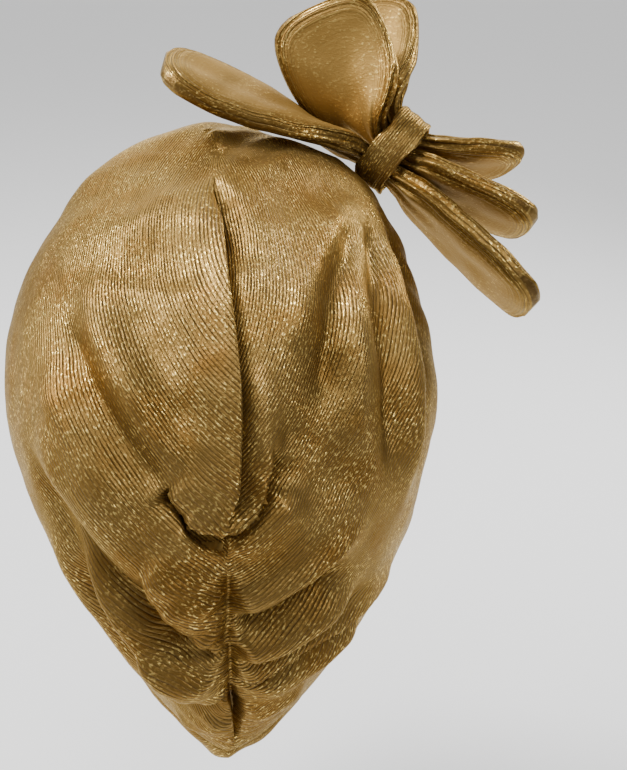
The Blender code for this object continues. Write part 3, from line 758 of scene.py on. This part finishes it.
def loop_rings(side, stack, fan, swing, roll, length, width, thickness):
    """Closed sections of one stuffed petal, gathered at its root and full at its tip."""
    across = bow_seat()[3]
    length, width, thickness = length * LOOP_LENGTH, width * LOOP_WIDTH, thickness * LOOP_THICKNESS
    places = np.linspace(0.0, 1.0, LOOP_ROWS)
    places = np.sin(places * math.pi / 2) * TIP_CROWDING + places * (1 - TIP_CROWDING)
    route, forward = loop_route(loop_ends(side, stack, fan, swing, length), places)
    sections = through_rows(LOOP_SECTIONS, places)
    turned = math.radians(roll) * smooth_step((places - ROLLED_FROM) / ROLLED_OVER)[:, None]
    broad = unit(across - forward * (forward @ across)[:, None])
    flat = np.cross(forward, broad)
    wide = broad * np.cos(turned) + flat * np.sin(turned)
    thick = np.cross(forward, wide)
    gathered = 1 - smooth_step((places - GATHERED_FROM) / GATHERED_OVER)
    half_width = sections[:, 0] * width / 2
    half_width = half_width + gathered * (ROOT_WIDTH / 2 - half_width)
    half_thickness = sections[:, 1] * thickness / 2
    half_thickness = half_thickness + gathered * (ROOT_THICKNESS / 2 - half_thickness)
    angles = np.linspace(0, 2 * math.pi, LOOP_SIDES, endpoint=False)[None, :]
    cosine, sine = np.cos(angles), np.sin(angles)
    places, half_width, half_thickness = (a[:, None] for a in (places, half_width, half_thickness))
    cushion = np.abs(sine) ** CUSHION_POWER * np.sign(sine)
    rim = 0.6 * half_thickness * np.abs(sine)
    from_edge = half_width * (1 - np.abs(cosine)) + rim
    from_tip = (1 - places) * length + rim
    inward = np.exp(-from_edge / TURN_SOFTNESS) + np.exp(-from_tip / TURN_SOFTNESS)
    inward = np.maximum(-TURN_SOFTNESS * np.log(inward), 0.0)
    pleat = np.exp(-((places - LOOP_PLEATS_AT) / LOOP_PLEATS_AT) ** 2)
    pleat = np.sin(LOOP_PLEATS * angles + 2 * stack + side) * pleat
    swell = 1 + LOOP_PLEAT_SHARE * pleat
    open_face = smooth_step((places - LOOP_PLEATS_AT) / 0.3) * smooth_step((1 - places) / 0.16)
    dip = DISH_SHARE * np.exp(-(cosine / DISH_SPREAD) ** 2) * open_face
    groove = np.cos(2 * math.pi * inward / RIM_SPACING) * np.exp(-(inward / RIM_REACH) ** 2)
    groove = RIM_GROOVE * groove * smooth_step(places / 0.25) * np.sign(sine)
    rings = route[:, None, :] + wide[:, None, :] * (half_width * cosine * swell)[..., None]
    puff = half_thickness * cushion * (swell - dip) - groove
    rings = rings + thick[:, None, :] * puff[..., None]
    soft = wrinkle(rings, LOOP_WRINKLE_SPACING, 5 + stack + 3 * side)
    soft = LOOP_WRINKLE * smooth_step(places / 0.3) * soft
    rings = rings + thick[:, None, :] * soft[..., None]
    along = np.broadcast_to(places * length, inward.shape)
    return rings, inward * np.where(sine < 0, -1.0, 1.0), along


def make_loop(name, material, *shape):
    """One stuffed loop, closed at its root and its tip."""
    rings, inward, along = loop_rings(*shape)
    points = list(rings.reshape(-1, 3)) + [rings[0].mean(axis=0), rings[-1].mean(axis=0)]
    rows, count = len(rings), LOOP_SIDES
    faces, corners = [], []
    for row in range(-1, rows):
        for i in range(count):
            j = (i + 1) % count
            if row < 0:
                faces.append((len(points) - 2, i, j))
                corners += [(0.0, 0.0)] * 3
            elif row + 1 < rows:
                low, high = row * count, (row + 1) * count
                faces.append((low + i, low + j, high + j, high + i))
                places = ((row, i), (row, j), (row + 1, j), (row + 1, i))
                corners += [(inward[r, c], along[r, c]) for r, c in places]
            else:
                faces.append((row * count + i, row * count + j, len(points) - 1))
                corners += [(inward[row, c], along[row, c]) for c in (i, j)]
                corners.append((0.0, along[row, i]))
    loop = mesh_object(name + "_cloth", points, faces, corners, material)
    face_outwards(loop)
    return loop


# Materials

# Colours: the cloth and its warmer patches, painted shade in the grooves between ribs, the foil
# threads brightened as painted glints, the tint of grazing light, and the duller faces of the
# loops
CLOTH = (0.228, 0.136, 0.036, 1.0)
WARM = (0.200, 0.102, 0.021, 1.0)
GROOVE_SHADE = (0.040, 0.016, 0.002, 1.0)
FOIL_GLINT = (1.00, 0.72, 0.22, 1.0)
EDGE_TINT = (1.0, 0.82, 0.46, 1.0)
FACE = (0.330, 0.195, 0.050, 1.0)

# Grain: noise scales across and along the ribs, and through space for the flecks
RIB_GRAIN = (240.0, 26.0, 1.0)
DEPTH_GRAIN = (900.0, 40.0, 1.0)
THREAD_GRAIN = (1500.0, 560.0, 1.0)
FLECK_GRAIN = (520.0, 520.0, 900.0)

# Strengths: the ribs' slow and quick waver and their depth, how much painted shade darkens the
# grooves, and how the shader's roughness and metal change with glints, grooves and dull faces
RIB_WAVER = 0.4
RIB_QUICK_WAVER = 0.55
RIB_DEPTH = 0.00042
GROOVE_SHADE_SHARE = 0.75
GLINT_SHARE = 0.92
ROUGHNESS = 0.40
GLINT_ROUGHNESS = -0.20
FACE_ROUGHNESS = 0.16
METALLIC = 0.84
FACE_METALLIC = -0.27
GROOVE_METALLIC = -0.40

# How far in from a loop's rim its face is plain, and how much of the ribs is left there
FACE_FROM = 0.0085
FACE_LEAST = 0.06


def group_of(name, inputs, outputs):
    """An empty shader group with named inputs and outputs, and its two end nodes."""
    tree = bpy.data.node_groups.new(name, "ShaderNodeTree")
    for label, kind, value in inputs:
        socket = tree.interface.new_socket(name=label, in_out="INPUT", socket_type=kind)
        socket.default_value = value
    for label, kind in outputs:
        tree.interface.new_socket(name=label, in_out="OUTPUT", socket_type=kind)
    return tree, tree.nodes.new("NodeGroupInput"), tree.nodes.new("NodeGroupOutput")


def add_node(tree, kind, **settings):
    """A new node with the settings given."""
    node = tree.nodes.new(kind)
    for label, value in settings.items():
        setattr(node, label, value)
    return node


def math_node(tree, operation, first, second=None, third=None, clamp=False):
    """A Math node whose inputs are numbers or sockets; gives back its output."""
    node = add_node(tree, "ShaderNodeMath", operation=operation, use_clamp=clamp)
    for place, value in enumerate((first, second, third)):
        if value is None:
            continue
        if isinstance(value, (int, float)):
            node.inputs[place].default_value = value
        else:
            tree.links.new(value, node.inputs[place])
    return node.outputs[0]


def noise_node(tree, coordinates, scale, detail=2.0, roughness=0.5, stretch=None):
    """Noise read at coordinates, first stretched by three factors where given."""
    if stretch is not None:
        mapping = add_node(tree, "ShaderNodeMapping")
        mapping.inputs["Scale"].default_value = stretch
        tree.links.new(coordinates, mapping.inputs["Vector"])
        coordinates = mapping.outputs["Vector"]
    node = add_node(tree, "ShaderNodeTexNoise")
    node.inputs["Scale"].default_value = scale
    node.inputs["Detail"].default_value = detail
    node.inputs["Roughness"].default_value = roughness
    tree.links.new(coordinates, node.inputs["Vector"])
    return node.outputs["Fac"]


def rib_group():
    """Crinkle ribs: rounded ridges that run along V, with narrow grooves and a slight waver."""
    tree, start, end = group_of(
        "crinkle_ribs",
        (("UV", "NodeSocketVector", (0, 0, 0)), ("Object", "NodeSocketVector", (0, 0, 0)),
         ("Period", "NodeSocketFloat", RIB_PERIOD), ("Waver", "NodeSocketFloat", RIB_WAVER)),
        [(label, "NodeSocketFloat") for label in ("Height", "Groove", "Glint")],
    )
    split = add_node(tree, "ShaderNodeSeparateXYZ")
    tree.links.new(start.outputs["UV"], split.inputs[0])
    slow = noise_node(tree, start.outputs["Object"], 28.0, 1.0)
    wander = math_node(tree, "SUBTRACT", slow, 0.5)
    wander = math_node(tree, "MULTIPLY", wander, start.outputs["Waver"])
    turns = math_node(tree, "DIVIDE", split.outputs["X"], start.outputs["Period"])
    phase = math_node(tree, "ADD", turns, math_node(tree, "MULTIPLY", wander, 3.0))
    quick = noise_node(tree, start.outputs["UV"], 1.0, 1.0, 0.5, RIB_GRAIN)
    quick = math_node(tree, "MULTIPLY", math_node(tree, "SUBTRACT", quick, 0.5), RIB_QUICK_WAVER)
    phase = math_node(tree, "ADD", phase, quick)
    ridge = math_node(tree, "SINE", math_node(tree, "MULTIPLY", phase, math.pi))
    ridge = math_node(tree, "POWER", math_node(tree, "ABSOLUTE", ridge), 0.5)
    uneven = noise_node(tree, start.outputs["UV"], 1.0, 2.0, 0.6, DEPTH_GRAIN)
    threads = noise_node(tree, start.outputs["UV"], 1.0, 1.0, 0.6, THREAD_GRAIN)
    depth = math_node(tree, "MULTIPLY_ADD", uneven, 1.9, -0.35, clamp=True)
    deep = math_node(tree, "SUBTRACT", 1.0, ridge, clamp=True)
    deep = math_node(tree, "MULTIPLY", deep, depth)
    height = math_node(tree, "MULTIPLY_ADD", deep, -1.0, math_node(tree, "MULTIPLY", uneven, 0.12))
    height = math_node(tree, "MULTIPLY_ADD", threads, 0.70, height)
    tree.links.new(height, end.inputs["Height"])
    # Groove: how deep the cloth lies between ribs; the material darkens it with painted shade and
    # makes it less metallic
    groove = math_node(tree, "MULTIPLY", deep, 2.2, clamp=True)
    tree.links.new(groove, end.inputs["Groove"])
    # Glint: painted glints, specks of foil colour on the rib crests in random patches
    patchy = noise_node(tree, start.outputs["Object"], 55.0, 2.0, 0.5)
    glint = math_node(tree, "MULTIPLY_ADD", threads, 10.0, -5.6, clamp=True)
    patchy = math_node(tree, "MULTIPLY_ADD", patchy, 3.6, -1.2, clamp=True)
    glint = math_node(tree, "MULTIPLY", glint, patchy)
    glint = math_node(tree, "MULTIPLY", glint, math_node(tree, "POWER", ridge, 2.0))
    tree.links.new(glint, end.inputs["Glint"])
    return tree


def mix_colour(tree, factor, first, second):
    """The first colour at factor 0 and the second at 1, each a value or a socket."""
    node = add_node(tree, "ShaderNodeMix", data_type="RGBA")
    tree.links.new(factor, node.inputs[0])
    for socket, value in ((node.inputs[6], first), (node.inputs[7], second)):
        if isinstance(value, tuple):
            socket.default_value = value
        else:
            tree.links.new(value, socket)
    return node.outputs[2]


def cloth_material(name, ribs, plain_faces=False):
    """Gold foil cloth: metallic threads over a warm brown ground, pleated in fine ribs, with
    painted shade in the grooves and painted glints on the threads.
    """
    material = bpy.data.materials.new(name)
    material.use_nodes = True
    tree = material.node_tree
    shader = tree.nodes["Principled BSDF"]
    place = add_node(tree, "ShaderNodeTexCoord")
    rib = add_node(tree, "ShaderNodeGroup", node_tree=ribs)
    tree.links.new(place.outputs["UV"], rib.inputs["UV"])
    tree.links.new(place.outputs["Object"], rib.inputs["Object"])
    patches = noise_node(tree, place.outputs["Object"], 38.0, 3.0, 0.55)
    height, groove, glint = rib.outputs["Height"], rib.outputs["Groove"], rib.outputs["Glint"]
    warmth = math_node(tree, "SUBTRACT", patches, 0.43)
    warmth = math_node(tree, "MULTIPLY", warmth, 5.0, clamp=True)
    colour = mix_colour(tree, warmth, CLOTH, WARM)
    roughness, metallic = ROUGHNESS, METALLIC
    if plain_faces:
        split = add_node(tree, "ShaderNodeSeparateXYZ")
        tree.links.new(place.outputs["UV"], split.inputs[0])
        edge = math_node(tree, "ABSOLUTE", split.outputs["X"])
        edge = math_node(tree, "MULTIPLY_ADD", edge, -1.0 / FACE_FROM, 1.35, clamp=True)
        edge = math_node(tree, "MAXIMUM", edge, FACE_LEAST)
        flecks = noise_node(tree, place.outputs["Object"], 1.0, 2.0, 0.6, FLECK_GRAIN)
        height = math_node(tree, "MULTIPLY", height, edge)
        height = math_node(tree, "MULTIPLY_ADD", flecks, 0.55, height)
        groove = math_node(tree, "MULTIPLY", groove, edge)
        # Painted glints: specks of foil colour scattered over the loops' plain faces
        spark = math_node(tree, "MULTIPLY_ADD", flecks, 7.0, -4.0, clamp=True)
        patchy = math_node(tree, "MULTIPLY_ADD", patches, 4.0, -1.7, clamp=True)
        spark = math_node(tree, "MULTIPLY", spark, patchy)
        glint = math_node(tree, "MULTIPLY", glint, edge)
        glint = math_node(tree, "MAXIMUM", glint, math_node(tree, "MULTIPLY", spark, 0.7))
        colour = mix_colour(tree, edge, FACE, colour)
        dull = math_node(tree, "SUBTRACT", 1.0, edge)
        roughness = math_node(tree, "MULTIPLY_ADD", dull, FACE_ROUGHNESS, roughness)
        metallic = math_node(tree, "MULTIPLY_ADD", dull, FACE_METALLIC, metallic)
    # Painted shade: the grooves between ribs are darkened towards a deep brown
    colour = mix_colour(tree, math_node(tree, "MULTIPLY", groove, GROOVE_SHADE_SHARE), colour, GROOVE_SHADE)
    # Painted glints: the foil threads are brightened in specks on the rib crests
    colour = mix_colour(tree, math_node(tree, "MULTIPLY", glint, GLINT_SHARE), colour, FOIL_GLINT)
    tree.links.new(colour, shader.inputs["Base Color"])
    roughness = math_node(tree, "MULTIPLY_ADD", glint, GLINT_ROUGHNESS, roughness)
    tree.links.new(roughness, shader.inputs["Roughness"])
    shader.inputs["Specular Tint"].default_value = EDGE_TINT
    metallic = math_node(tree, "MULTIPLY_ADD", groove, GROOVE_METALLIC, metallic, clamp=True)
    tree.links.new(metallic, shader.inputs["Metallic"])
    bump = add_node(tree, "ShaderNodeBump")
    bump.inputs["Strength"].default_value = 1.0
    bump.inputs["Distance"].default_value = RIB_DEPTH
    tree.links.new(height, bump.inputs["Height"])
    tree.links.new(bump.outputs["Normal"], shader.inputs["Normal"])
    return material


# The studio

# The camera: what it looks at, from how high and how far; its picture's width and height in
# pixels, how far off the picture lies in them, and where in the picture that middle falls
VIEW_MIDDLE = Vector((0.0, 0.0, 0.070))
VIEW_CLIMB = math.radians(30.0)
VIEW_DISTANCE = 0.495
VIEW_BACK = Vector((0.0, math.cos(VIEW_CLIMB), math.sin(VIEW_CLIMB)))
VIEW_RIGHT = Vector((-1.0, 0.0, 0.0))
VIEW_UP = VIEW_BACK.cross(VIEW_RIGHT)
PICTURE = (627, 770)
PICTURE_DISTANCE = 1100
MIDDLE_AT = (216.0, 412.0)
SENSOR = 24.0

FLOOR_HEIGHT = -0.20
FLOOR_REACH = 6.0
FLOOR_COLOUR = (0.92, 0.92, 0.92, 1.0)
WORLD_STRENGTH = 0.30

# Lamps: name, place to the right of, above and behind the middle of the view, size in metres
# or, for the suns, width in degrees, and power
AREA_LAMPS = (
    ("key", -0.40, 0.88, 0.20, 0.22, 8.8),
    ("rim", 0.62, 0.60, -0.25, 0.26, 5.5),
    ("fill", 0.35, 0.45, 0.80, 0.30, 3.0),
    ("left", -0.80, 0.42, 0.25, 0.26, 6.2),
)
SUN_LAMPS = (
    ("ceiling", -0.30, 0.75, 0.45, 50.0, 1.2),
    ("top", -0.10, 0.75, -0.62, 50.0, 1.5),
)


def add_lamp(kind, name, right, up, back, power):
    """A lamp that shines at the middle of the view; gives back its settings."""
    light = bpy.data.lights.new(name, kind)
    light.energy = power
    lamp = bpy.data.objects.new(name, light)
    bpy.context.scene.collection.objects.link(lamp)
    lamp.location = VIEW_MIDDLE + VIEW_RIGHT * right + VIEW_UP * up + VIEW_BACK * back
    direction = (VIEW_MIDDLE - lamp.location).normalized()
    lamp.rotation_euler = direction.to_track_quat("-Z", "Y").to_euler()
    return light


def make_studio():
    """The photo's camera, soft lamps, a pale world and a pale floor."""
    scene = bpy.context.scene
    data = bpy.data.cameras.new("camera")
    data.sensor_fit = "VERTICAL"
    data.sensor_height = SENSOR
    data.lens = SENSOR * PICTURE_DISTANCE / PICTURE[1]
    data.shift_x = (PICTURE[0] / 2 - MIDDLE_AT[0]) / PICTURE[1]
    data.shift_y = (MIDDLE_AT[1] - PICTURE[1] / 2) / PICTURE[1]
    data.clip_start = 0.01
    camera = bpy.data.objects.new("camera", data)
    scene.collection.objects.link(camera)
    facing = Matrix((VIEW_RIGHT, VIEW_UP, VIEW_BACK)).transposed().to_4x4()
    camera.matrix_world = Matrix.Translation(VIEW_MIDDLE + VIEW_BACK * VIEW_DISTANCE) @ facing
    scene.camera = camera
    for name, right, up, back, size, power in AREA_LAMPS:
        add_lamp("AREA", name, right, up, back, power).size = size
    for name, right, up, back, width, power in SUN_LAMPS:
        add_lamp("SUN", name, right, up, back, power).angle = math.radians(width)
    world = bpy.data.worlds.new("studio")
    world.use_nodes = True
    background = world.node_tree.nodes["Background"]
    background.inputs["Color"].default_value = (1.0, 1.0, 1.0, 1.0)
    background.inputs["Strength"].default_value = WORLD_STRENGTH
    scene.world = world
    paper = bpy.data.materials.new("floor_paper")
    paper.use_nodes = True
    shader = paper.node_tree.nodes["Principled BSDF"]
    shader.inputs["Base Color"].default_value = FLOOR_COLOUR
    shader.inputs["Roughness"].default_value = 0.9
    sides = ((-1, -1), (1, -1), (1, 1), (-1, 1))
    corners = [(x * FLOOR_REACH, y * FLOOR_REACH, FLOOR_HEIGHT) for x, y in sides]
    floor = mesh_object("floor", corners, [(0, 1, 2, 3)], None, paper)


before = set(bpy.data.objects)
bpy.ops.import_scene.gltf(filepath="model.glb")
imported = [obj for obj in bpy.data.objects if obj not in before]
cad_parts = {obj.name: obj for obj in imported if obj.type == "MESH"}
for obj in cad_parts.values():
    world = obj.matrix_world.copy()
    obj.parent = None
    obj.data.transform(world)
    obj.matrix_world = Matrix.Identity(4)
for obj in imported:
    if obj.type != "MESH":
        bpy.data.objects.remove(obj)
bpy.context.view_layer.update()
ribs = rib_group()
crown = make_crown(cloth_material("crown_gold_cloth", ribs))
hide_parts("crown")
hem = make_hem(cloth_material("hem_gold_cloth", ribs))
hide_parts("hem_band")
band = make_band(cloth_material("knot_gold_cloth", ribs))
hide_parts("knot_band")
loop_cloth = cloth_material("bow_gold_cloth", ribs, plain_faces=True)
loops = []
for row in BOW_LOOPS:
    loop = make_loop(row[0], loop_cloth, *row[1:])
    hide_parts(row[0])
    loops.append(loop)
make_studio()
for piece in (crown, hem, band, *loops):
    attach(piece, "root")
